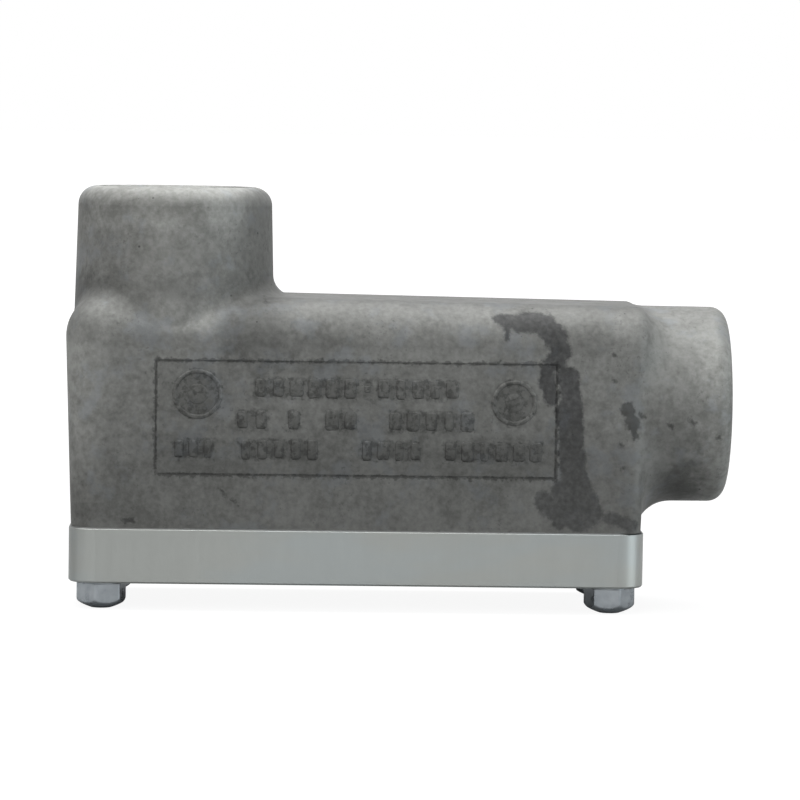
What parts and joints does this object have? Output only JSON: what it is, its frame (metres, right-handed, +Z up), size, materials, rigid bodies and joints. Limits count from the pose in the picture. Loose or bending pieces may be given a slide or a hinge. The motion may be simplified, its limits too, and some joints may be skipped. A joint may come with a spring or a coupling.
{
  "type": "conduit body",
  "caption": "Cast aluminium conduit body with two internally threaded hubs at right angles and a thick bolted cover plate, for pulling wires round a corner.",
  "frame": {"origin": "middle of the part's footprint, on the plane of the screw head ends that it stands on", "axes": "+Z up along the riser hub, +X along the outlet hub, -Y out of the marked face"},
  "size_m": [0.153, 0.0482, 0.0964],
  "materials": {
    "casting": "sand-cast, dull, stained",
    "cover_plate": "milled, satin",
    "screws": "zinc plated"
  },
  "bodies": {
    "root": {"housing": "casting", "cover": "cover_plate", "cover_screw_near_left": "screws", "cover_screw_near_right": "screws", "cover_screw_far_left": "screws", "cover_screw_far_right": "screws"}
  },
  "joints": []
}
